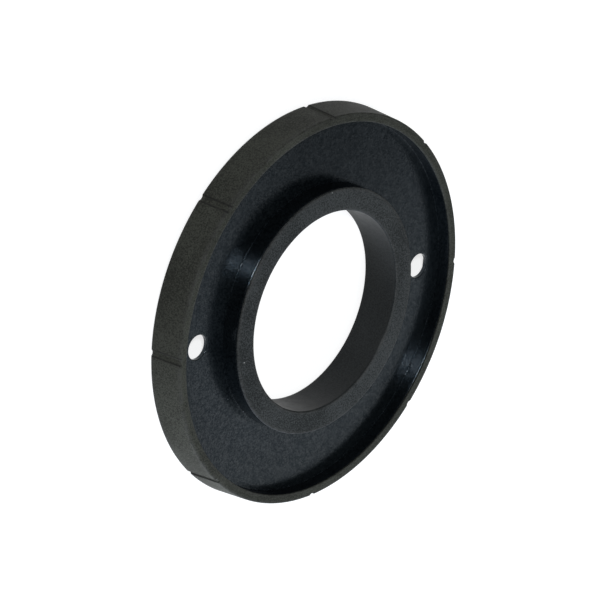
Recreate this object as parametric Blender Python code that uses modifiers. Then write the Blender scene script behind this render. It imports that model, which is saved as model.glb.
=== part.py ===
"""Toilet flange: a stiff channel ring with two bolt holes, a soft outlet collar and a soft rim band.

The flange lies flat with its trough up, its axis on +Z and its bolt holes on the X axis. The back is at z = 0.
"""

import math

import bpy

MM = 0.001

# Sizes that fit the flange to the floor and to the toilet
BOLT_SPACING = 152.4 * MM
BOLT_HOLE_DIAMETER = 12.0 * MM
BORE_DIAMETER = 97.8 * MM

# Outer form
OUTER_DIAMETER = 190.5 * MM
WALL_DRAFT = 1.3 * MM
RIM_HEIGHT = 17.2 * MM
RIM_WIDTH = 4.3 * MM
COLLAR_WALL = 11.1 * MM
COLLAR_PROUD = 2.4 * MM
TROUGH_DEPTH = 7.2 * MM

# Wall sections
WEB_THICKNESS = 2.2 * MM
HUB_WALL = 2.2 * MM
BAND_THICKNESS = 2.0 * MM
LIP_THICKNESS = 0.9 * MM
TROUGH_FILLET = 1.5 * MM
BACK_FILLET = 4.0 * MM

# Grooves down the outside of the rim band
GROOVE_COUNT = 8
GROOVE_WIDTH = 3.2 * MM
GROOVE_DEPTH = 0.8 * MM

# Edge radii, as shares of the lip's thickness
FACE_EDGE = 0.75 * LIP_THICKNESS
LIP_EDGE = 0.35 * LIP_THICKNESS

# Clearance between a soft piece and its seat
SEAT_GAP = 0.3 * MM

SEGMENTS = 80
HOLE_SIDES = 28
GROOVE_SIDES = 24
CUT_PAST = 5.0 * MM

# Radii and heights that follow from the sizes above
R_FRONT = OUTER_DIAMETER / 2
R_BACK = R_FRONT + WALL_DRAFT
R_TROUGH = R_FRONT - RIM_WIDTH
R_BORE = BORE_DIAMETER / 2
R_COLLAR = R_BORE + COLLAR_WALL
R_HUB_IN = R_COLLAR - HUB_WALL
R_COLLAR_BODY = R_HUB_IN - SEAT_GAP
R_BOLT = BOLT_SPACING / 2
Z_FACE = RIM_HEIGHT + COLLAR_PROUD
Z_WEB_TOP = RIM_HEIGHT - TROUGH_DEPTH
Z_WEB_BOTTOM = Z_WEB_TOP - WEB_THICKNESS
Z_WEB_MID = (Z_WEB_TOP + Z_WEB_BOTTOM) / 2
SEAT = LIP_THICKNESS + SEAT_GAP
Z_WALL_TOP = RIM_HEIGHT - SEAT
Z_HUB_TOP = Z_FACE - SEAT


def band_radius(z):
    """Radius of the band's drafted outer wall at height z."""
    return R_BACK + (R_FRONT - R_BACK) * z / RIM_HEIGHT


def seat_radius(z):
    """Radius of the channel ring's outer wall, where the band sits, at height z."""
    return band_radius(z) - BAND_THICKNESS - SEAT_GAP


# Radius of the back recess: the outer wall is as thick at the back as it is at the web
R_RECESS = seat_radius(SEAT) - (seat_radius(Z_WEB_MID) - R_TROUGH)


def rounded(corners):
    """Outline of (radius, height) points from corners of (radius, height, edge radius, steps)."""
    outline = []
    count = len(corners)
    for i, (x, z, edge, steps) in enumerate(corners):
        if not edge:
            outline.append((x, z))
            continue
        px, pz = corners[i - 1][:2]
        nx, nz = corners[(i + 1) % count][:2]
        ax, az = px - x, pz - z
        bx, bz = nx - x, nz - z
        la, lb = math.hypot(ax, az), math.hypot(bx, bz)
        ax, az, bx, bz = ax / la, az / la, bx / lb, bz / lb
        half = math.acos(max(-1.0, min(1.0, ax * bx + az * bz))) / 2
        reach = edge / math.tan(half)
        mx, mz = ax + bx, az + bz
        lm = math.hypot(mx, mz)
        cx = x + mx / lm * edge / math.sin(half)
        cz = z + mz / lm * edge / math.sin(half)
        start = math.atan2(z + az * reach - cz, x + ax * reach - cx)
        end = math.atan2(z + bz * reach - cz, x + bx * reach - cx)
        sweep = (end - start + math.pi) % (2 * math.pi) - math.pi
        for k in range(steps + 1):
            angle = start + sweep * k / steps
            outline.append((cx + edge * math.cos(angle), cz + edge * math.sin(angle)))
    return outline


def collection(name):
    """A collection of that name in the scene."""
    made = bpy.data.collections.new(name)
    bpy.context.scene.collection.children.link(made)
    return made


def material(name, colour, roughness):
    """A Principled material of one colour and roughness."""
    made = bpy.data.materials.new(name)
    made.use_nodes = True
    shader = made.node_tree.nodes["Principled BSDF"]
    shader.inputs["Base Color"].default_value = (*colour, 1.0)
    shader.inputs["Roughness"].default_value = roughness
    return made


def turned(name, outline, look, group):
    """A closed ring turned from an outline that runs down its outer side."""
    mesh = bpy.data.meshes.new(name)
    points = [(x, 0.0, z) for x, z in outline]
    edges = [(i, (i + 1) % len(points)) for i in range(len(points))]
    mesh.from_pydata(points, edges, [])
    made = bpy.data.objects.new(name, mesh)
    group.objects.link(made)
    screw = made.modifiers.new("turn", "SCREW")
    screw.angle = 2 * math.pi
    screw.steps = SEGMENTS
    screw.render_steps = SEGMENTS
    screw.use_merge_vertices = True
    screw.merge_threshold = 0.00001
    screw.use_smooth_shade = True
    mesh.materials.append(look)
    return made


def rod(name, radius, length, sides, group):
    """An upright rod about its own centre, to cut with."""
    mesh = bpy.data.meshes.new(name)
    turns = [2 * math.pi * (i + 0.5) / sides for i in range(sides)]
    low = [(radius * math.cos(a), radius * math.sin(a), -length / 2) for a in turns]
    high = [(x, y, length / 2) for x, y, _ in low]
    walls = [(i, (i + 1) % sides, sides + (i + 1) % sides, sides + i) for i in range(sides)]
    caps = [tuple(reversed(range(sides))), tuple(range(sides, 2 * sides))]
    mesh.from_pydata(low + high, [], walls + caps)
    made = bpy.data.objects.new(name, mesh)
    group.objects.link(made)
    made.hide_render = True
    made.display_type = "WIRE"
    return made


def cut(target, tool):
    """Take the tool's shape out of the target."""
    boolean = target.modifiers.new(tool.name, "BOOLEAN")
    boolean.operation = "DIFFERENCE"
    boolean.solver = "EXACT"
    boolean.object = tool


def flange_ring(parts, cutters):
    """The stiff ring: outer wall, web with two bolt holes, hub wall, open at the front and the back."""
    outline = rounded(
        [
            (seat_radius(Z_WALL_TOP), Z_WALL_TOP, 0.0, 0),
            (seat_radius(SEAT), SEAT, 0.0, 0),
            (R_RECESS, SEAT, 0.0, 0),
            (R_RECESS, Z_WEB_BOTTOM, BACK_FILLET, 3),
            (R_COLLAR, Z_WEB_BOTTOM, BACK_FILLET, 3),
            (R_COLLAR, SEAT, 0.0, 0),
            (R_HUB_IN, SEAT, 0.0, 0),
            (R_HUB_IN, Z_HUB_TOP, 0.0, 0),
            (R_COLLAR, Z_HUB_TOP, 0.0, 0),
            (R_COLLAR, Z_WEB_TOP, TROUGH_FILLET, 3),
            (R_TROUGH, Z_WEB_TOP, TROUGH_FILLET, 3),
            (R_TROUGH, Z_WALL_TOP, 0.0, 0),
        ]
    )
    look = material("flange_ring", (0.012, 0.014, 0.016), 0.35)
    ring = turned("flange_ring", outline, look, parts)
    for side, x in (("right", R_BOLT), ("left", -R_BOLT)):
        tool = rod(f"bolt_hole_{side}", BOLT_HOLE_DIAMETER / 2, WEB_THICKNESS + CUT_PAST, HOLE_SIDES, cutters)
        tool.location = (x, 0.0, Z_WEB_MID)
        cut(ring, tool)
    return ring


def outlet_collar(parts):
    """The soft collar: a plain bore inside, and a groove outside that grips the hub wall."""
    outline = rounded(
        [
            (R_COLLAR, Z_FACE, FACE_EDGE, 2),
            (R_COLLAR, Z_FACE - LIP_THICKNESS, 0.0, 0),
            (R_COLLAR_BODY, Z_FACE - LIP_THICKNESS, 0.0, 0),
            (R_COLLAR_BODY, LIP_THICKNESS, 0.0, 0),
            (R_COLLAR, LIP_THICKNESS, 0.0, 0),
            (R_COLLAR, 0.0, LIP_EDGE, 1),
            (R_BORE, 0.0, FACE_EDGE, 2),
            (R_BORE, Z_FACE, FACE_EDGE, 2),
        ]
    )
    return turned("outlet_collar", outline, material("outlet_collar", (0.03, 0.03, 0.028), 0.7), parts)


def rim_band(parts, cutters):
    """The soft band: clipped over the ring's outer wall, with shallow grooves down its outside."""
    top = RIM_HEIGHT - LIP_THICKNESS
    outline = rounded(
        [
            (band_radius(RIM_HEIGHT), RIM_HEIGHT, FACE_EDGE, 3),
            (band_radius(0.0), 0.0, FACE_EDGE, 2),
            (R_RECESS, 0.0, LIP_EDGE, 1),
            (R_RECESS, LIP_THICKNESS, 0.0, 0),
            (band_radius(LIP_THICKNESS) - BAND_THICKNESS, LIP_THICKNESS, 0.0, 0),
            (band_radius(top) - BAND_THICKNESS, top, 0.0, 0),
            (R_TROUGH, top, 0.0, 0),
            (R_TROUGH, RIM_HEIGHT, LIP_EDGE, 1),
        ]
    )
    band = turned("rim_band", outline, material("rim_band", (0.03, 0.03, 0.028), 0.7), parts)
    radius = (GROOVE_WIDTH**2 / 4 + GROOVE_DEPTH**2) / (2 * GROOVE_DEPTH)
    lean = math.atan2(WALL_DRAFT, RIM_HEIGHT)
    centre = band_radius(RIM_HEIGHT / 2) + (radius - GROOVE_DEPTH) / math.cos(lean)
    for i in range(GROOVE_COUNT):
        turn = 2 * math.pi * i / GROOVE_COUNT
        tool = rod(f"groove_{i + 1}", radius, RIM_HEIGHT + 2 * CUT_PAST, GROOVE_SIDES, cutters)
        tool.location = (centre * math.cos(turn), centre * math.sin(turn), RIM_HEIGHT / 2)
        tool.rotation_euler = (0.0, -lean, turn)
        cut(band, tool)
    return band


def main():
    """Clear the scene, then build the three pieces in place."""
    for old in list(bpy.data.objects):
        bpy.data.objects.remove(old, do_unlink=True)
    parts = collection("toilet_flange")
    cutters = collection("cutters")
    flange_ring(parts, cutters)
    outlet_collar(parts)
    rim_band(parts, cutters)


main()
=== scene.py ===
"""Looks of the toilet flange.

Three black mouldings lie on a pale floor with the trough up: the satin channel ring, the matt outlet
collar and the matt rim band. Each is one closed surface, worked out with numpy from its section and
turned about Z.
"""

import logging
import math
from dataclasses import dataclass
from enum import Enum
from typing import Any

import bpy
import numpy as np
from mathutils import Matrix, Vector


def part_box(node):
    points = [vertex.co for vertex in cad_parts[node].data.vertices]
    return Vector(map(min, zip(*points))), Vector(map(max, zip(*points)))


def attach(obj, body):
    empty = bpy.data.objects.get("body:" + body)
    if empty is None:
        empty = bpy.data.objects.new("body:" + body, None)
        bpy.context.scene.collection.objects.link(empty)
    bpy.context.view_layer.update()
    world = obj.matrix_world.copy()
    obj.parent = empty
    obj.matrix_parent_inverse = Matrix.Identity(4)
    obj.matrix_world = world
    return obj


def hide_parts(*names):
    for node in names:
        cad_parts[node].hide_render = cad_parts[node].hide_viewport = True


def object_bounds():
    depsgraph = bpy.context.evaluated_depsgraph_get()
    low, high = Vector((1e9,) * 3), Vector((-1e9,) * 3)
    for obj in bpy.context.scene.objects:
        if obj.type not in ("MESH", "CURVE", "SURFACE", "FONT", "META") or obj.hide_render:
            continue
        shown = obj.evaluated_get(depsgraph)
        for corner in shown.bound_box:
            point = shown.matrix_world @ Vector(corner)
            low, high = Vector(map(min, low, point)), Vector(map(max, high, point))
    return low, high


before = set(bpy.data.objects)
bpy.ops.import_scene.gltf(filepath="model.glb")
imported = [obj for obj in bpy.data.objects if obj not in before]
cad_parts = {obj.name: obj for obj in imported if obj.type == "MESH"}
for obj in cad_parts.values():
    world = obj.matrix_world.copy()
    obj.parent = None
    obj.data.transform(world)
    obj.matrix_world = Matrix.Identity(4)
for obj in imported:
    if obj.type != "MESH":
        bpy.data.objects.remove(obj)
CAD_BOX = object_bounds()

LOG = logging.getLogger("toilet_flange")
IMAGE_SIDE_PX = 608
SENSOR_MM = 36.0
MM = 0.001
HAIR = 1e-7
FULL_TURN = 2 * math.pi
BODY = "root"

# Quarter turn that lays the wide side of a highlight across the circular marks of the mould
ACROSS_MARKS = 0.25

Colour = tuple[float, float, float]
Place = tuple[float, float, float]


class Node(Enum):
    """The CAD nodes that the pieces stand for."""

    RING = "flange_ring"
    COLLAR = "outlet_collar"
    BAND = "rim_band"


class Signal:
    """One output of a shader graph, with arithmetic that adds Math nodes."""

    def __init__(self, graph: "Graph", socket: bpy.types.NodeSocket) -> None:
        """Keep the graph and the socket."""
        self.graph = graph
        self.socket = socket

    def __add__(self, other: "Signal | float") -> "Signal":
        """Self plus other."""
        return self.graph.math("ADD", self, other)

    def __sub__(self, other: "Signal | float") -> "Signal":
        """Self minus other."""
        return self.graph.math("SUBTRACT", self, other)

    def __mul__(self, other: "Signal | float") -> "Signal":
        """Self times other."""
        return self.graph.math("MULTIPLY", self, other)

    def __pow__(self, other: "Signal | float") -> "Signal":
        """Self to the power of other."""
        return self.graph.math("POWER", self, other)

    def __rsub__(self, other: float) -> "Signal":
        """Other minus self."""
        return self.graph.math("SUBTRACT", other, self)

    __radd__ = __add__
    __rmul__ = __mul__

    def step(self, low: float, high: float) -> "Signal":
        """A smooth step of self, 0 below low and 1 above high, or falling where low is above high.

        Args:
            low: the value that gives 0.
            high: the value that gives 1.

        Returns:
            The stepped signal.
        """
        settings = {"interpolation_type": "SMOOTHSTEP"}
        sockets = {"Value": self, "From Min": low, "From Max": high}
        return self.graph.node("ShaderNodeMapRange", settings, sockets)


class Graph:
    """A node material under construction, around one Principled shader."""

    def __init__(self, name: str) -> None:
        """Start a material.

        Args:
            name: the material's name.
        """
        self.material = bpy.data.materials.new(name)
        self.material.use_nodes = True
        self.tree = self.material.node_tree
        self.shader = self.tree.nodes["Principled BSDF"]

    def node(
        self,
        kind: str,
        settings: dict[str, Any] | None = None,
        inputs: dict[str | int, Any] | None = None,
        output: str | int = 0,
    ) -> Signal:
        """Add any node.

        Args:
            kind: the node's type name.
            settings: its properties, set first.
            inputs: values or signals by socket name or number.
            output: which output to return.

        Returns:
            The chosen output.
        """
        made = self.tree.nodes.new(kind)
        for key, value in (settings or {}).items():
            setattr(made, key, value)
        for key, value in (inputs or {}).items():
            self.feed(made.inputs[key], value)
        return Signal(self, made.outputs[output])

    def feed(self, socket: bpy.types.NodeSocket, value: Any) -> None:
        """Link a signal to a socket, or set its value.

        Args:
            socket: the socket to feed.
            value: a signal, a number or a colour.
        """
        if isinstance(value, Signal):
            self.tree.links.new(value.socket, socket)
        elif isinstance(value, tuple) and len(value) == 3 and socket.type == "RGBA":
            socket.default_value = (*value, 1.0)
        else:
            socket.default_value = value

    def math(self, operation: str, first: Signal | float, second: Signal | float = 0.0) -> Signal:
        """A Math node of two values."""
        return self.node("ShaderNodeMath", {"operation": operation}, {0: first, 1: second})

    def blend(self, share: Signal, low: Signal | Colour, high: Signal | Colour) -> Signal:
        """A colour between low, at share 0, and high, at share 1."""
        settings = {"data_type": "RGBA", "clamp_factor": True}
        return self.node("ShaderNodeMix", settings, {0: share, 6: low, 7: high}, 2)

    def noise(self, place: Signal, size: float, detail: float = 2.0, rough: float = 0.5) -> Signal:
        """Noise of a feature size.

        Args:
            place: coordinates in metres.
            size: feature size in metres.
            detail: octaves.
            rough: strength of the finer octaves.

        Returns:
            The noise, from 0 to 1 around one half.
        """
        sockets = {"Vector": place, "Scale": 1.0 / size, "Detail": detail, "Roughness": rough}
        return self.node("ShaderNodeTexNoise", {}, sockets)

    def bump(
        self, height: Signal, distance: float, strength: float, under: Signal | None = None
    ) -> Signal:
        """A normal bent by a height.

        Args:
            height: the height signal, about 0 to 1.
            distance: the height in metres that 1 stands for.
            strength: how much of the bend is kept.
            under: the normal to bend further.

        Returns:
            The bent normal.
        """
        sockets: dict[str | int, Any] = {"Height": height, "Distance": distance, "Strength": strength}
        if under is not None:
            sockets["Normal"] = under
        return self.node("ShaderNodeBump", {}, sockets)

    def specks(self, place: Signal, pitch: float, radius: float, share: float) -> Signal:
        """Sparse round specks: 1 inside a speck and 0 outside.

        Args:
            place: coordinates in metres.
            pitch: distance between cells in metres.
            radius: speck radius in metres.
            share: share of the cells that hold a speck.

        Returns:
            The mask.
        """
        sockets = {"Vector": place, "Scale": 1.0 / pitch, "Randomness": 1.0}
        cell = self.node("ShaderNodeTexVoronoi", {"feature": "F1"}, sockets, "Color")
        reach = self.node("ShaderNodeTexVoronoi", {"feature": "F1"}, sockets, "Distance")
        pick = self.node("ShaderNodeSeparateColor", {}, {"Color": cell}, "Red")
        size = self.node("ShaderNodeSeparateColor", {}, {"Color": cell}, "Green")
        least, soft, sharp = 0.4, 0.3, 0.01
        edge = (radius / pitch) * (least + (1.0 - least) * size)
        inside = (edge - reach).step(0.0, soft * radius / pitch)
        return inside * pick.step(1.0 - share, 1.0 - share + sharp)

    def place(self) -> Signal:
        """Object coordinates, in metres."""
        return self.node("ShaderNodeTexCoord", {}, {}, "Object")

    def attribute(self, name: str) -> Signal:
        """A number kept on the mesh's points."""
        return self.node("ShaderNodeAttribute", {"attribute_name": name}, {}, "Fac")

    def polar(self, place: Signal) -> tuple[Signal, Signal, Signal]:
        """Distance from the axis, angle about it and height.

        Args:
            place: coordinates in metres.

        Returns:
            Radius and height in metres, with the angle between them in radians.
        """
        x, y, z = (self.node("ShaderNodeSeparateXYZ", {}, {0: place}, axis) for axis in "XYZ")
        radius = (x * x + y * y) ** 0.5
        return radius, self.math("ARCTAN2", y, x), z

    def finish(self, sockets: dict[str, Any]) -> bpy.types.Material:
        """Feed the Principled shader.

        Args:
            sockets: values or signals by socket name.

        Returns:
            The finished material.
        """
        for key, value in sockets.items():
            self.feed(self.shader.inputs[key], value)
        return self.material


@dataclass(frozen=True)
class MattRubber:
    """Matt black rubber with a fine grain, a dull bloom and a little dust, and smoother near the axis.

    Each tone is the weight of a pattern in the colour, and each matt value its weight in the roughness.
    The darkest colour is painted shade along the edges of the band's grooves.
    """

    name: str
    smooth_within: float = 0.0
    smooth_colour: Colour = (0.005, 0.007, 0.008)
    smooth_roughness: float = 0.42
    deep: Colour = (0.0124, 0.0137, 0.0135)
    bloom: Colour = (0.0490, 0.0525, 0.0525)
    rubbed: Colour = (0.050, 0.050, 0.048)
    dust: Colour = (0.30, 0.30, 0.29)
    # Dark colour painted as shade along the edges of the band's grooves
    dirt_and_shade: Colour = (0.004, 0.004, 0.004)
    roughness: float = 0.62
    specular: float = 0.14
    anisotropy: float = 0.0
    cloud_size: float = 38.0 * MM
    mottle_size: float = 3.5 * MM
    grain_size: float = 0.75 * MM
    mottle_height: float = 0.05 * MM
    grain_height: float = 0.03 * MM
    tone: float = 0.25
    cloud_tone: float = 0.45
    mottle_tone: float = 0.6
    grain_tone: float = 4.4
    wear_tone: float = 0.55
    # Weight of the painted groove-edge shade in the colour
    dirt_and_shade_tone: float = 0.8
    smooth_tone: float = 0.7
    smooth_blend: float = 0.5 * MM
    mottle_matt: float = 0.22
    grain_matt: float = 0.10
    wear_matt: float = 0.10

    def make(self) -> bpy.types.Material:
        """Build the material on Object coordinates and the mesh's wear.

        Returns:
            The material.
        """
        graph = Graph(self.name)
        place = graph.place()
        cloud = graph.noise(place, self.cloud_size, detail=3.0, rough=0.55).step(0.35, 0.68)
        mottle = graph.noise(place, self.mottle_size, detail=4.0, rough=0.6)
        grain = graph.noise(place, self.grain_size, detail=3.0, rough=0.6)
        uneven, fine = mottle - 0.5, grain - 0.5
        wear = graph.attribute("wear") * (0.35 + mottle).step(0.55, 1.1)
        dust = graph.specks(place, pitch=9.0 * MM, radius=0.42 * MM, share=0.16)
        shade = self.tone + self.cloud_tone * cloud + self.mottle_tone * uneven + self.grain_tone * fine
        body = graph.blend(shade, self.deep, self.bloom)
        worn = graph.blend(self.wear_tone * wear, body, self.rubbed)
        # Painted shade: the colour darkens along the band's groove edges, where those edges would fall in
        # shadow
        shaded = graph.blend(self.dirt_and_shade_tone * graph.attribute("dirt_and_shade"), worn, self.dirt_and_shade)
        radius, _, _ = graph.polar(place)
        smooth = radius.step(self.smooth_within + self.smooth_blend, self.smooth_within)
        bare = graph.blend(self.smooth_tone * smooth, shaded, self.smooth_colour)
        colour = graph.blend(dust, bare, self.dust)
        matt = self.roughness + self.mottle_matt * uneven + self.grain_matt * fine - self.wear_matt * wear
        roughness = matt + (self.smooth_roughness - self.roughness) * smooth
        coarse = graph.bump(mottle, self.mottle_height, 0.25)
        normal = graph.bump(grain, self.grain_height, 0.55, coarse)
        return graph.finish(
            {
                "Base Color": colour,
                "Roughness": roughness,
                "Specular IOR Level": self.specular,
                "Anisotropic": self.anisotropy,
                "Anisotropic Rotation": ACROSS_MARKS,
                "Normal": normal,
            }
        )


@dataclass(frozen=True)
class SatinMoulding:
    """Smooth blue-black moulding with faint turning marks from its mould and fine pale specks.

    Each tone is the weight of a pattern in the colour, each matt value its weight in the roughness, and
    each film value its weight in a thin glossy film.
    """

    name: str
    deep: Colour = (0.0015, 0.0023, 0.0030)
    pale: Colour = (0.0076, 0.0098, 0.0112)
    rubbed: Colour = (0.022, 0.024, 0.026)
    dust: Colour = (0.16, 0.17, 0.18)
    roughness: float = 0.205
    anisotropy: float = 0.70
    specular: float = 0.34
    sheen: Colour = (0.58, 0.80, 1.0)
    mark_pitch: float = 0.45 * MM
    mark_height: float = 0.02 * MM
    mark_run: float = 2.0 * MM
    cloud_size: float = 30.0 * MM
    mottle_size: float = 2.2 * MM
    grain_size: float = 0.8 * MM
    grain_height: float = 0.10 * MM
    tone: float = 0.2
    cloud_tone: float = 0.4
    mottle_tone: float = 0.9
    grain_tone: float = 3.0
    wear_tone: float = 0.4
    dust_tone: float = 0.8
    mottle_matt: float = 0.16
    mark_matt: float = 0.10
    dirt_matt: float = 0.06
    film: float = 0.28
    mottle_film: float = 1.2
    grain_film: float = 2.4
    film_roughness: float = 0.2

    def make(self) -> bpy.types.Material:
        """Build the material on Object coordinates and the mesh's wear.

        Returns:
            The material.
        """
        graph = Graph(self.name)
        place = graph.place()
        radius, angle, height = graph.polar(place)
        along = graph.node("ShaderNodeCombineXYZ", {}, {0: radius, 1: height, 2: angle * self.mark_run})
        marks = graph.noise(along, self.mark_pitch, detail=3.0, rough=0.6)
        mottle = graph.noise(place, self.mottle_size, detail=4.0, rough=0.62)
        grain = graph.noise(place, self.grain_size, detail=2.0, rough=0.6)
        cloud = graph.noise(place, self.cloud_size).step(0.35, 0.7)
        uneven, fine = mottle - 0.5, grain - 0.5
        dust = graph.specks(place, pitch=4.5 * MM, radius=0.22 * MM, share=0.10)
        shade = self.tone + self.cloud_tone * cloud + self.mottle_tone * uneven + self.grain_tone * fine
        body = graph.blend(shade, self.deep, self.pale)
        worn = graph.blend(self.wear_tone * graph.attribute("wear"), body, self.rubbed)
        colour = graph.blend(self.dust_tone * dust, worn, self.dust)
        clean = self.roughness + self.mottle_matt * uneven + self.mark_matt * (marks - 0.5)
        roughness = clean + self.dirt_matt * graph.attribute("dirt_and_shade")
        ringed = graph.bump(marks, self.mark_height, 0.6)
        normal = graph.bump(grain, self.grain_height, 0.7, ringed)
        return graph.finish(
            {
                "Base Color": colour,
                "Roughness": roughness,
                "Specular IOR Level": self.specular,
                "Specular Tint": self.sheen,
                "Coat Weight": self.grain_film * fine + self.mottle_film * uneven + self.film,
                "Coat Roughness": self.film_roughness,
                "Anisotropic": self.anisotropy,
                "Anisotropic Rotation": ACROSS_MARKS,
                "Normal": normal,
            }
        )


def wrapped(angle: Any, period: float) -> Any:
    """Angles, one or an array, moved by whole periods to within half a period of 0."""
    return (angle + period / 2) % period - period / 2


def even_angles(count: int) -> np.ndarray:
    """Equal angles round a full turn, starting at 0."""
    return FULL_TURN * np.arange(count) / count


@dataclass(frozen=True)
class Corner:
    """One corner of a section: radius and height, the radius of its rounding, and the steps of that arc."""

    r: float
    z: float
    edge: float = 0.0
    steps: int = 6


@dataclass(frozen=True)
class Section:
    """A closed outline in the plane of radius and height, whose corners run down its outer side."""

    corners: tuple[Corner, ...]
    spacing: float = 0.9 * MM
    reach: float = 0.8 * MM
    sharp: float = 1.5 * MM

    def _around(self, index: int) -> tuple[Corner, ...]:
        """The corner before, the corner itself and the corner after, counted round the outline."""
        return tuple(self.corners[(index + step) % len(self.corners)] for step in (-1, 0, 1))

    def _arc(self, index: int) -> np.ndarray:
        """The rounded corner as points.

        The arc is centre + edge (cos a, sin a), tangent to both runs that meet at the corner.

        Args:
            index: which corner.

        Returns:
            Points of radius and height, one row each.
        """
        before, corner, after = self._around(index)
        here = np.array((corner.r, corner.z))
        if not corner.edge:
            return here[None, :]
        back = np.array((before.r, before.z)) - here
        on = np.array((after.r, after.z)) - here
        back, on = back / np.linalg.norm(back), on / np.linalg.norm(on)
        half = math.acos(float(np.clip(back @ on, -1.0, 1.0))) / 2
        centre = here + (back + on) / np.linalg.norm(back + on) * corner.edge / math.sin(half)
        start = here + back * corner.edge / math.tan(half) - centre
        end = here + on * corner.edge / math.tan(half) - centre
        first = math.atan2(start[1], start[0])
        sweep = wrapped(math.atan2(end[1], end[0]) - first, FULL_TURN)
        angles = first + sweep * np.linspace(0.0, 1.0, corner.steps + 1)
        return centre + corner.edge * np.stack((np.cos(angles), np.sin(angles)), 1)

    def _bend(self, index: int) -> int:
        """How a rounded corner bends.

        Args:
            index: which corner.

        Returns:
            1 for a small outward edge, -1 for an inner corner, 0 for a sharp or a large one.
        """
        before, corner, after = self._around(index)
        if not 0.0 < corner.edge <= self.sharp:
            return 0
        ahead = (corner.r - before.r) * (after.z - corner.z) - (corner.z - before.z) * (after.r - corner.r)
        return 1 if ahead < 0.0 else -1

    def outline(self) -> tuple[np.ndarray, np.ndarray, np.ndarray]:
        """All points of the outline, with the wear and the dirt of each.

        A run between two arcs is a straight line in equal steps. Wear is 1 on a small outward edge, dirt
        is 1 in a small inner corner, and both fall off as exp(-distance / reach) along the runs beside it.

        Returns:
            Points of radius and height, their wear and their dirt, both from 0 to 1.
        """
        arcs = [self._arc(i) for i in range(len(self.corners))]
        points, marks = [], []
        for i, arc in enumerate(arcs):
            following = arcs[(i + 1) % len(arcs)]
            length = float(np.linalg.norm(following[0] - arc[-1]))
            steps = max(1, round(length / self.spacing))
            share = np.linspace(0.0, 1.0, steps + 1)[1:-1]
            run = arc[-1] + share[:, None] * (following[0] - arc[-1])
            near = np.exp(-share * length / self.reach) * self._bend(i)
            far = np.exp(-(1.0 - share) * length / self.reach) * self._bend(i + 1)
            points += [arc, run]
            marks.append(np.full(len(arc), float(self._bend(i))))
            marks.append(np.where(np.abs(near) > np.abs(far), near, far))
        mark = np.concatenate(marks)
        return np.concatenate(points), np.clip(mark, 0.0, 1.0), np.clip(-mark, 0.0, 1.0)


@dataclass
class Skin:
    """A mesh in the making: points, four-sided faces, each point's wear, and its corner dirt and painted
    groove shade.
    """

    points: np.ndarray
    faces: np.ndarray
    wear: np.ndarray
    dirt_and_shade: np.ndarray

    @classmethod
    def turned(cls, section: Section, angles: np.ndarray, push: np.ndarray | float = 0.0) -> "Skin":
        """Turn an outline about Z.

        Point (i, j) is ((r_j + push_ij) cos a_i, (r_j + push_ij) sin a_i, z_j), closed both ways.

        Args:
            section: the section, whose outline has n points.
            angles: the m angles, in order round the circle.
            push: what is added to the radius, m by n.

        Returns:
            The closed skin, point i * n + j at angle i.
        """
        outline, wear, dirt_and_shade = section.outline()
        radius = outline[None, :, 0] + push
        count = len(angles)
        x = radius * np.cos(angles)[:, None]
        y = radius * np.sin(angles)[:, None]
        z = np.broadcast_to(outline[None, :, 1], x.shape)
        grid = np.arange(x.size).reshape(x.shape)
        on, down = np.roll(grid, -1, 0), np.roll(grid, -1, 1)
        both = np.roll(down, -1, 0)
        faces = np.stack((grid, down, both, on), -1).reshape(-1, 4)
        points = np.stack((x, y, z), -1).reshape(-1, 3)
        return cls(points, faces, np.tile(wear, count), np.tile(dirt_and_shade, count))

    def trimmed(self) -> "Skin":
        """The skin without the points that no face uses, such as those inside a hole's block."""
        used, index = np.unique(self.faces, return_inverse=True)
        return Skin(self.points[used], index.reshape(-1, 4), self.wear[used], self.dirt_and_shade[used])

    def piece(self, node: Node, material: bpy.types.Material) -> bpy.types.Object:
        """Put the skin into Blender as the piece that stands for a node.

        Args:
            node: the CAD node.
            material: the finish.

        Returns:
            The object, riding on its body.
        """
        name = node.value + "_skin"
        mesh = bpy.data.meshes.new(name)
        mesh.vertices.add(len(self.points))
        mesh.vertices.foreach_set("co", self.points.astype(np.float32).ravel())
        mesh.loops.add(self.faces.size)
        mesh.loops.foreach_set("vertex_index", self.faces.astype(np.int32).ravel())
        mesh.polygons.add(len(self.faces))
        mesh.polygons.foreach_set("loop_start", np.arange(0, self.faces.size, 4, dtype=np.int32))
        mesh.polygons.foreach_set("use_smooth", np.ones(len(self.faces), bool))
        mesh.update(calc_edges=True)
        for label, values in (("wear", self.wear), ("dirt_and_shade", self.dirt_and_shade)):
            layer = mesh.attributes.new(label, "FLOAT", "POINT")
            layer.data.foreach_set("value", values.astype(np.float32))
        mesh.materials.append(material)
        made = bpy.data.objects.new(name, mesh)
        bpy.context.scene.collection.objects.link(made)
        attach(made, BODY)
        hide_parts(node.value)
        LOG.info("%s: %d points, %d faces", name, len(self.points), len(self.faces))
        return made


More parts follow.
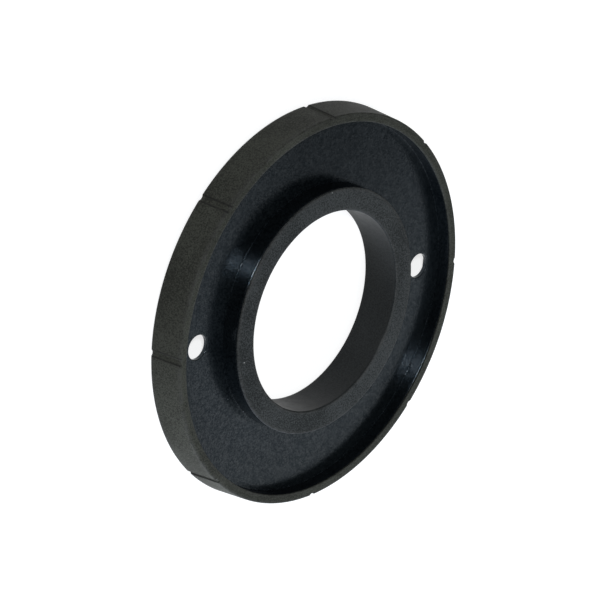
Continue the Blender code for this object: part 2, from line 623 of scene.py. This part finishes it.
@dataclass(frozen=True)
class Form:
    """Sizes that the pieces share. The overall ones come from the frame."""

    bolt_spacing: float = 152.4 * MM
    bolt_hole: float = 12.0 * MM
    collar_wall: float = 11.1 * MM
    wall_draft: float = 1.3 * MM
    rim_width: float = 4.3 * MM
    trough_depth: float = 7.2 * MM
    web: float = 2.2 * MM
    hub_wall: float = 2.2 * MM
    band: float = 2.0 * MM
    lip: float = 0.9 * MM
    gap: float = 0.3 * MM
    trough_fillet: float = 0.25 * MM
    back_fillet: float = 4.0 * MM
    seam: float = 0.06 * MM

    @property
    def back(self) -> float:
        """Outer radius at the back."""
        return float(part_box(Node.BAND.value)[1].x)

    @property
    def front(self) -> float:
        """Outer radius at the front of the rim."""
        return self.back - self.wall_draft

    @property
    def rim(self) -> float:
        """Height of the rim."""
        return float(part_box(Node.BAND.value)[1].z)

    @property
    def face(self) -> float:
        """Height of the collar's face."""
        return float(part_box(Node.COLLAR.value)[1].z)

    @property
    def collar(self) -> float:
        """Outer radius of the collar."""
        return float(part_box(Node.COLLAR.value)[1].x)

    @property
    def trough(self) -> float:
        """Radius of the trough's outer edge."""
        return self.front - self.rim_width

    @property
    def web_top(self) -> float:
        """Height of the trough's floor."""
        return self.rim - self.trough_depth

    @property
    def web_bottom(self) -> float:
        """Height of the web's underside."""
        return self.web_top - self.web

    def wall(self, z: Any) -> Any:
        """Radius of the drafted outer wall at a height, or at each of an array of heights."""
        return self.back - self.wall_draft * z / self.rim

    def seat(self, z: float) -> float:
        """Radius of the ring's own outer wall, under the band, at a height."""
        return self.wall(z) - self.band - self.gap

    @property
    def recess(self) -> float:
        """Radius of the back recess."""
        middle = (self.web_top + self.web_bottom) / 2
        return self.seat(self.lip + self.gap) - self.seat(middle) + self.trough


@dataclass
class FlangeRing:
    """The stiff channel ring: outer wall, web with two bolt holes, hub wall."""

    form: Form
    finish: SatinMoulding
    turns: int = 480
    block: float = 7.6 * MM
    hole_edge: float = 0.35 * MM
    patch_rows: int = 6
    edge_rows: int = 4
    wall_rows: int = 3

    def section(self) -> Section:
        """The ring's section: an H with a trough at the front and a recess at the back.

        Returns:
            The section, with corners where the blocks round the bolt holes begin and end.
        """
        f = self.form
        seat = f.lip + f.gap
        wall_top, hub_top = f.rim - f.lip - f.seam, f.face - f.lip - f.seam
        bolt = f.bolt_spacing / 2
        near, far = bolt - self.block, bolt + self.block
        return Section(
            (
                Corner(f.seat(wall_top), wall_top),
                Corner(f.seat(seat), seat),
                Corner(f.recess, seat),
                Corner(f.recess, f.web_bottom, f.back_fillet, 10),
                Corner(far, f.web_bottom),
                Corner(near, f.web_bottom),
                Corner(f.collar, f.web_bottom, f.back_fillet, 10),
                Corner(f.collar, seat),
                Corner(f.collar - f.hub_wall, seat),
                Corner(f.collar - f.hub_wall, hub_top),
                Corner(f.collar, hub_top),
                Corner(f.collar, f.web_top, f.trough_fillet, 4),
                Corner(near, f.web_top),
                Corner(far, f.web_top),
                Corner(f.trough, f.web_top, f.trough_fillet, 4),
                Corner(f.trough, wall_top),
            )
        )

    def _block(
        self, outline: np.ndarray, angles: np.ndarray, centre: float, height: float
    ) -> np.ndarray:
        """Points of the block that a bolt hole takes out of one face of the web.

        Args:
            outline: the section's points.
            angles: the angles of the grid.
            centre: the hole's angle.
            height: the face's height.

        Returns:
            Indices of the points, rising angle by rising radius.
        """
        bolt = self.form.bolt_spacing / 2
        turn = wrapped(angles - centre, FULL_TURN)
        columns = np.flatnonzero(np.abs(turn) <= self.block / bolt)
        columns = columns[np.argsort(turn[columns])]
        level = np.abs(outline[:, 1] - height) < HAIR
        rows = np.flatnonzero(level & (np.abs(outline[:, 0] - bolt) <= self.block + HAIR))
        rows = rows[np.argsort(outline[rows, 0])]
        return columns[:, None] * len(outline) + rows

    @staticmethod
    def _rim(block: np.ndarray) -> np.ndarray:
        """The block's rim, in order: out in radius, on in angle, back in radius, back in angle."""
        return np.concatenate((block[0, :-1], block[:-1, -1], block[-1, :0:-1], block[:0:-1, 0]))

    def _hole_wall(self) -> tuple[np.ndarray, np.ndarray, np.ndarray]:
        """Profile of a bolt hole from the web's top to its underside.

        Each end is a quarter circle: radius hole + edge (1 - sin a) at edge (1 - cos a) from the face.
        A plain wall in equal steps joins the two.

        Returns:
            Radius, height and wear of each row.
        """
        f, edge, hole = self.form, self.hole_edge, self.form.bolt_hole / 2
        bend = np.linspace(0.0, math.pi / 2, self.edge_rows + 1)
        wide, deep, worn = edge * (1 - np.sin(bend)), edge * (1 - np.cos(bend)), np.ones(len(bend))
        plain = np.linspace(f.web_top - edge, f.web_bottom + edge, self.wall_rows + 2)[1:-1]
        radii = np.concatenate((hole + wide, np.full(self.wall_rows, hole), hole + wide[::-1]))
        heights = np.concatenate((f.web_top - deep, plain, f.web_bottom + deep[::-1]))
        return radii, heights, np.concatenate((worn, np.zeros(self.wall_rows), worn))

    def _drill(self, skin: Skin, outline: np.ndarray, angles: np.ndarray, centre: float) -> Skin:
        """Open one bolt hole through the web.

        Point (k, p) runs from point p of the upper block's rim straight to the hole's round edge, down the
        hole as middle + radius_k (cos a_p, sin a_p) at height_k, and straight out to the lower rim.

        Args:
            skin: the ring so far.
            outline: its section's points.
            angles: its angles.
            centre: the hole's angle.

        Returns:
            The ring with the hole.
        """
        f = self.form
        upper, lower = (self._block(outline, angles, centre, z) for z in (f.web_top, f.web_bottom))
        cut = np.isin(skin.faces, np.concatenate((upper, lower), axis=None)).all(1)
        top, bottom = self._rim(upper), self._rim(lower)
        start, end = skin.points[top, :2], skin.points[bottom, :2]
        middle = f.bolt_spacing / 2 * np.array((math.cos(centre), math.sin(centre)))
        aim = (start - middle) / np.linalg.norm(start - middle, axis=1)[:, None]
        radii, heights, worn = self._hole_wall()
        tube = middle + radii[:, None, None] * aim
        share = np.linspace(0.0, 1.0, self.patch_rows + 1)[1:-1, None, None]
        above = start * (1 - share) + tube[0] * share
        below = tube[-1] * (1 - share) + end * share
        flat = np.concatenate((above, tube, below))
        rows, columns = flat.shape[:2]
        level = np.repeat(np.pad(heights, len(share), "edge"), columns)
        fresh = np.column_stack((flat.reshape(-1, 2), level))
        inner = len(skin.points) + np.arange(len(fresh)).reshape(rows, columns)
        grid = np.concatenate((top[None], inner, bottom[None]))
        beside = np.roll(grid, -1, 1)
        faces = np.stack((grid[:-1], beside[:-1], beside[1:], grid[1:]), -1).reshape(-1, 4)
        return Skin(
            np.concatenate((skin.points, fresh)),
            np.concatenate((skin.faces[~cut], faces)),
            np.concatenate((skin.wear, np.repeat(np.pad(worn, len(share)), columns))),
            np.concatenate((skin.dirt_and_shade, np.zeros(len(fresh)))),
        )

    def build(self) -> bpy.types.Object:
        """Turn the section, open both bolt holes and dress the ring.

        Returns:
            The piece.
        """
        section, angles = self.section(), even_angles(self.turns)
        skin = Skin.turned(section, angles)
        for centre in (0.0, math.pi):
            skin = self._drill(skin, section.outline()[0], angles, centre)
        return skin.trimmed().piece(Node.RING, self.finish.make())


@dataclass
class OutletCollar:
    """The soft collar: plain bore, flat face, and a groove outside that grips the hub wall."""

    form: Form
    finish: MattRubber
    turns: int = 480
    face_edge: float = 0.55 * MM
    bore_edge: float = 0.8 * MM
    back_edge: float = 0.4 * MM

    def section(self) -> Section:
        """The collar's section: a thick wall with a lip over each end of the hub.

        Returns:
            The section.
        """
        f = self.form
        body = f.collar - f.hub_wall - f.gap
        bore = f.collar - f.collar_wall
        return Section(
            (
                Corner(f.collar, f.face, self.face_edge, 5),
                Corner(f.collar, f.face - f.lip),
                Corner(body, f.face - f.lip),
                Corner(body, f.lip),
                Corner(f.collar, f.lip),
                Corner(f.collar, 0.0, self.back_edge, 4),
                Corner(bore, 0.0, self.back_edge, 4),
                Corner(bore, f.face, self.bore_edge, 6),
            )
        )

    def build(self) -> bpy.types.Object:
        """Turn the section and dress the collar.

        Returns:
            The piece.
        """
        skin = Skin.turned(self.section(), even_angles(self.turns))
        return skin.piece(Node.COLLAR, self.finish.make())


@dataclass
class RimBand:
    """The soft band: clipped over the ring's outer wall, with shallow grooves down its outside."""

    form: Form
    finish: MattRubber
    grooves: int = 8
    groove_width: float = 3.2 * MM
    groove_depth: float = 0.8 * MM
    front_edge: float = 0.75 * MM
    back_edge: float = 0.6 * MM
    lip_edge: float = 0.3 * MM
    fade: float = 1.6 * MM
    # Width of the painted shade along each groove edge
    shade_reach: float = 0.45 * MM
    spacing: float = 0.8 * MM
    close_share: float = 0.75
    close_steps: int = 34
    wide_steps: int = 34

    @property
    def pitch(self) -> float:
        """Angle from one groove to the next."""
        return FULL_TURN / self.grooves

    def section(self) -> Section:
        """The band's section: a thin drafted wall with a lip at the front and one at the back.

        Returns:
            The section.
        """
        f = self.form
        top = f.rim - f.lip
        return Section(
            (
                Corner(f.front, f.rim, self.front_edge, 6),
                Corner(f.back, 0.0, self.back_edge, 5),
                Corner(f.recess, 0.0, self.lip_edge, 3),
                Corner(f.recess, f.lip),
                Corner(f.wall(f.lip) - f.band, f.lip),
                Corner(f.wall(top) - f.band, top),
                Corner(f.trough, top),
                Corner(f.trough, f.rim, self.lip_edge, 4),
            ),
            spacing=self.spacing,
        )

    def angles(self) -> np.ndarray:
        """Angles round the band, close together across each groove and wide apart between grooves.

        Returns:
            The angles, in order.
        """
        reach = self.close_share * self.groove_width / self.form.front
        close = np.linspace(-reach, reach, self.close_steps + 1)
        wide = np.linspace(reach, self.pitch - reach, self.wide_steps + 1)[1:-1]
        one = np.concatenate((close, wide))
        return (one[None, :] + self.pitch * np.arange(self.grooves)[:, None]).ravel()

    def _inside(self, outline: np.ndarray) -> np.ndarray:
        """How far in from the drafted outer wall each point of the section is."""
        return self.form.wall(outline[:, 1]) - outline[:, 0]

    def push(self, outline: np.ndarray, angles: np.ndarray) -> np.ndarray:
        """How far each point moves in towards the axis to make the grooves.

        Across a groove the floor is an arc of radius R = (width^2 / 4 + depth^2) / (2 depth), so the move is
        sqrt(R^2 - x^2) - (R - depth) at distance x from its middle. At distance d in from the outer wall it
        is multiplied by sqrt(1 - d / fade), which takes it to nothing on the two end faces.

        Args:
            outline: the section's points.
            angles: the angles of the grid.

        Returns:
            The change of radius, angles by points.
        """
        across = wrapped(angles, self.pitch) * self.form.front
        arc = (self.groove_width**2 / 4 + self.groove_depth**2) / (2 * self.groove_depth)
        sunk = np.sqrt(np.clip(arc**2 - across**2, 0.0, None)) - (arc - self.groove_depth)
        left = np.clip(1 - self._inside(outline) / self.fade, 0.0, 1.0)
        return -np.outer(np.clip(sunk, 0.0, None), np.sqrt(left))

    def dirt_and_shade(self, outline: np.ndarray, angles: np.ndarray) -> np.ndarray:
        """Painted shade along both edges of each groove, where the edges would fall in shadow.

        It is exp(-((|x| - width / 2) / reach)^2) at distance x from the groove's middle, on the outer wall.

        Args:
            outline: the section's points.
            angles: the angles of the grid.

        Returns:
            Painted shade of each point, from 0 to 1.
        """
        away = np.abs(wrapped(angles, self.pitch)) * self.form.front - self.groove_width / 2
        outside = self._inside(outline) < self.front_edge
        return np.outer(np.exp(-((away / self.shade_reach) ** 2)), outside).ravel()

    def build(self) -> bpy.types.Object:
        """Turn the section with its grooves and dress the band.

        Returns:
            The piece.
        """
        section, angles = self.section(), self.angles()
        outline = section.outline()[0]
        skin = Skin.turned(section, angles, self.push(outline, angles))
        # Painted shade along the groove edges, in place of the section's corner dirt
        skin.dirt_and_shade = self.dirt_and_shade(outline, angles)
        return skin.piece(Node.BAND, self.finish.make())


@dataclass(frozen=True)
class Lamp:
    """A soft lamp, wide by high, that faces the flange. Angles are in degrees and power is in watts."""

    name: str
    azimuth: float
    elevation: float
    distance: float
    width: float
    height: float
    power: float
    colour: Colour = (1.0, 1.0, 1.0)
    glint: bool = True

    def build(self) -> bpy.types.Object:
        """Hang the lamp at its azimuth from +X and its elevation, in degrees.

        Returns:
            The lamp.
        """
        light = bpy.data.lights.new(self.name, "AREA")
        light.shape = "RECTANGLE"
        light.size = self.width
        light.size_y = self.height
        light.energy = self.power
        light.color = self.colour
        turn, rise = math.radians(self.azimuth), math.radians(self.elevation)
        level = math.cos(rise)
        out = Vector((math.cos(turn) * level, math.sin(turn) * level, math.sin(rise)))
        made = bpy.data.objects.new(self.name, light)
        bpy.context.scene.collection.objects.link(made)
        made.location = out * self.distance
        made.rotation_euler = (-out).to_track_quat("-Z", "Y").to_euler()
        made.visible_glossy = self.glint
        return made


@dataclass(frozen=True)
class Floor:
    """A plain pale floor that reads as white and keeps the flange's shadow."""

    side: float = 12.0
    colour: Colour = (0.42, 0.42, 0.42)
    glow: float = 0.76
    drop: float = 0.05 * MM

    def build(self) -> bpy.types.Object:
        """Lay the floor just under the flange.

        Returns:
            The floor.
        """
        half = self.side / 2
        low = float(CAD_BOX[0].z) - self.drop
        mesh = bpy.data.meshes.new("floor")
        corners = [(-half, -half, low), (half, -half, low), (half, half, low), (-half, half, low)]
        mesh.from_pydata(corners, [], [(0, 1, 2, 3)])
        made = bpy.data.objects.new("floor", mesh)
        bpy.context.scene.collection.objects.link(made)
        mesh.materials.append(self._material())
        return made

    def _material(self) -> bpy.types.Material:
        """Dull white, plus an even white glow for the rays that see the floor itself.

        Returns:
            The material.
        """
        graph = Graph("floor")
        kinds = ("Is Camera Ray", "Is Glossy Ray", "Is Transmission Ray")
        camera, glossy, passing = (graph.node("ShaderNodeLightPath", {}, {}, kind) for kind in kinds)
        seen = graph.math("MAXIMUM", camera, graph.math("MAXIMUM", glossy, passing))
        return graph.finish(
            {
                "Base Color": self.colour,
                "Roughness": 1.0,
                "Specular IOR Level": 0.0,
                "Emission Color": graph.blend(seen, (0.0, 0.0, 0.0), (self.glow,) * 3),
                "Emission Strength": 1.0,
            }
        )


@dataclass(frozen=True)
class PhotoCamera:
    """The photograph's viewpoint: a long lens, rolled over on its side."""

    azimuth: float = -118.78
    elevation: float = 37.69
    roll: float = -111.63
    distance: float = 1872.2 * MM
    focal_px: float = 4000.0
    aim: Place = (2.14 * MM, -1.82 * MM, 3.61 * MM)

    def build(self) -> bpy.types.Object:
        """Stand the camera back from its aim and roll it about its view.

        Returns:
            The scene's camera.
        """
        turn, rise, roll = (math.radians(x) for x in (self.azimuth, self.elevation, self.roll))
        back = Vector((math.sin(turn) * math.cos(rise), -math.cos(turn) * math.cos(rise), math.sin(rise)))
        level = (-back).cross(Vector((0.0, 0.0, 1.0))).normalized()
        upright = back.cross(level)
        up = upright * math.cos(roll) + level * math.sin(roll)
        right = up.cross(back)
        lens = bpy.data.cameras.new("photo_camera")
        lens.sensor_width = SENSOR_MM
        lens.lens = SENSOR_MM * self.focal_px / IMAGE_SIDE_PX
        made = bpy.data.objects.new("photo_camera", lens)
        bpy.context.scene.collection.objects.link(made)
        turned = Matrix((right, up, back)).transposed().to_4x4()
        made.matrix_world = Matrix.Translation(Vector(self.aim) + back * self.distance) @ turned
        bpy.context.scene.camera = made
        return made


@dataclass(frozen=True)
class Studio:
    """Floor, soft light and camera."""

    sky: Colour = (0.03, 0.032, 0.036)
    floor: Floor = Floor()
    camera: PhotoCamera = PhotoCamera()
    lamps: tuple[Lamp, ...] = (
        Lamp("key", 141.0, 38.0, 1.6, 0.12, 0.12, 12.0, (0.93, 0.97, 1.0)),
        Lamp("window", -58.5, 25.0, 0.9, 1.75, 0.58, 1.6, (0.93, 0.98, 1.0)),
        Lamp("skylight", -47.5, 55.5, 0.9, 0.6, 0.6, 0.42, (0.93, 0.98, 1.0)),
        Lamp("side", -97.0, 14.0, 1.0, 0.6, 0.4, 20.5, (0.80, 0.87, 1.0), False),
        Lamp("overhead", 0.0, 86.0, 1.2, 0.5, 0.5, 4.3, (0.98, 1.0, 1.0), False),
    )

    def build(self) -> None:
        """Set the view, the sky, the floor, the lamps and the camera."""
        scene = bpy.context.scene
        scene.view_settings.view_transform = "Standard"
        world = bpy.data.worlds.new("studio")
        world.use_nodes = True
        world.node_tree.nodes["Background"].inputs["Color"].default_value = (*self.sky, 1.0)
        scene.world = world
        self.camera.build()
        self.floor.build()
        for lamp in self.lamps:
            lamp.build()
            LOG.info("lamp %s", lamp.name)


def main() -> None:
    """Build the studio and the three pieces."""
    logging.basicConfig(level=logging.INFO, format="%(name)s: %(message)s")
    Studio().build()
    form = Form()
    FlangeRing(form, SatinMoulding("satin_moulding")).build()
    bore = form.collar - form.collar_wall
    OutletCollar(form, MattRubber("collar_rubber", smooth_within=bore, anisotropy=0.75)).build()
    warm, warm_bloom = (0.0142, 0.0148, 0.0116), (0.052, 0.0540, 0.0440)
    RimBand(form, MattRubber("band_rubber", deep=warm, bloom=warm_bloom)).build()


if __name__ == "__main__":
    main()
